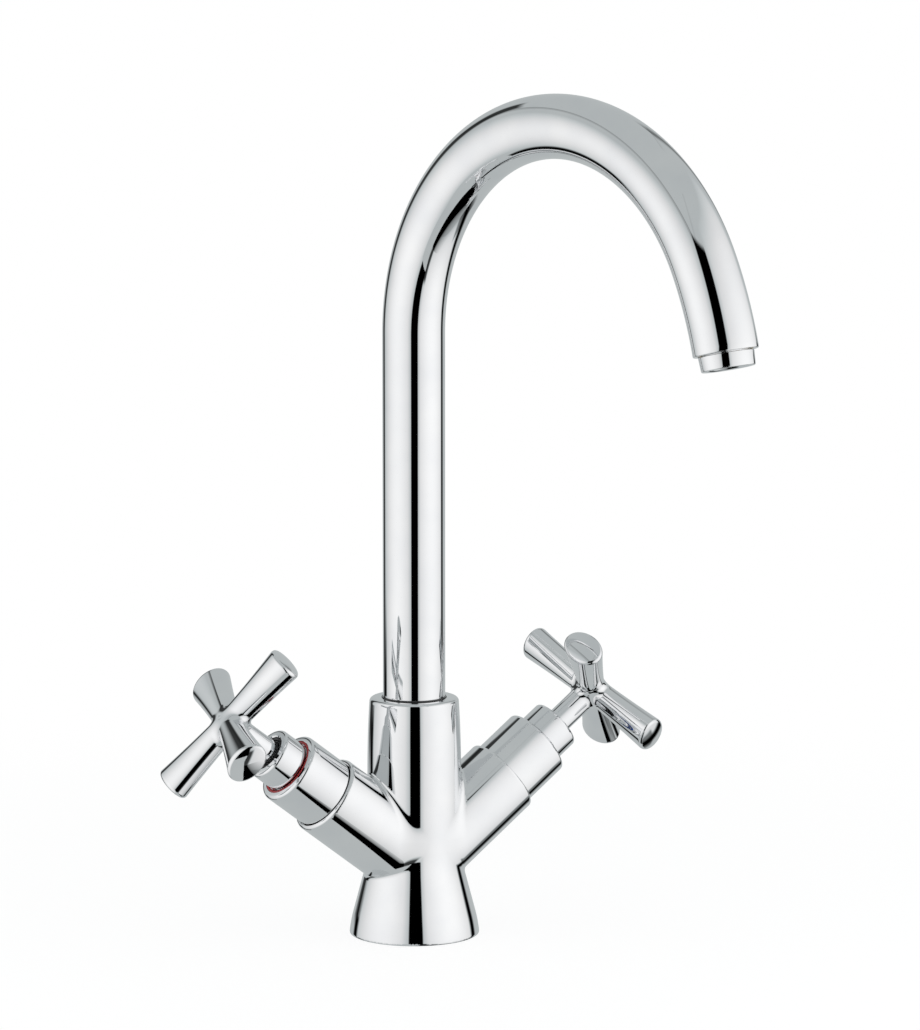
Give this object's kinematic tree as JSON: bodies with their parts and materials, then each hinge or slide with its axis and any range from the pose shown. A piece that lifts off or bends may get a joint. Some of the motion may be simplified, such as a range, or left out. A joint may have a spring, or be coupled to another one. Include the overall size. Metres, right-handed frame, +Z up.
{
  "type": "kitchen faucet",
  "caption": "Deck-mounted kitchen faucet: Y-shaped body on a conical foot, inclined hot and cold valves with cross handles, and a swivelling swan-neck spout with an aerator.",
  "frame": {"origin": "centre of the foot's flat underside, which stands on the deck", "axes": "+Z up along the column, +X towards the cold valve, -Y towards the user"},
  "size_m": [0.2029, 0.2081, 0.3287],
  "materials": {
    "chrome": "mirror-polished chrome plate",
    "brass": "machined",
    "steel": "plain zinc-plated",
    "ceramic": "lapped",
    "rubber": "matt",
    "nylon": "moulded",
    "black_plastic": "moulded",
    "hot_red": "glossy",
    "cold_blue": "glossy"
  },
  "bodies": {
    "mixer": {"mixer_body": "chrome", "base_gasket": "rubber", "spout_glide_ring": "nylon", "spout_retaining_screw": "steel", "hot_seat_washer": "rubber", "hot_fixed_disc": "ceramic", "hot_cartridge_body": "brass", "hot_cartridge_oring": "rubber", "hot_cover": "chrome", "hot_index_ring": "hot_red", "hot_bonnet": "chrome", "hot_handle_bush": "black_plastic", "cold_seat_washer": "rubber", "cold_fixed_disc": "ceramic", "cold_cartridge_body": "brass", "cold_cartridge_oring": "rubber", "cold_cover": "chrome", "cold_index_ring": "cold_blue", "cold_bonnet": "chrome", "cold_handle_bush": "black_plastic"},
    "spout": {"spout_tube": "chrome", "spout_tail": "brass", "spout_oring_lower": "rubber", "spout_oring_upper": "rubber", "aerator_socket": "brass", "aerator_housing": "chrome", "aerator_cartridge": "nylon", "aerator_washer": "rubber"},
    "hot_valve": {"hot_moving_disc": "ceramic", "hot_spindle": "brass", "hot_spindle_oring": "rubber", "hot_spindle_clip": "steel", "hot_handle": "chrome", "hot_handle_set_screw": "steel"},
    "cold_valve": {"cold_moving_disc": "ceramic", "cold_spindle": "brass", "cold_spindle_oring": "rubber", "cold_spindle_clip": "steel", "cold_handle": "chrome", "cold_handle_set_screw": "steel"}
  },
  "joints": [
    {"name": "spout_swivel", "type": "hinge", "parent": "mixer", "child": "spout", "pos_m": [0, 0, 0.0923], "axis": [0, 0, 1], "continuous": true},
    {"name": "hot_handle_turn", "type": "hinge", "parent": "mixer", "child": "hot_valve", "pos_m": [0, 0, 0.02865], "axis": [-0.7955, 0, 0.606], "range_deg": [0, 90]},
    {"name": "cold_handle_turn", "type": "hinge", "parent": "mixer", "child": "cold_valve", "pos_m": [0, 0, 0.02865], "axis": [0.7955, 0, 0.606], "range_deg": [-90, 0]}
  ]
}
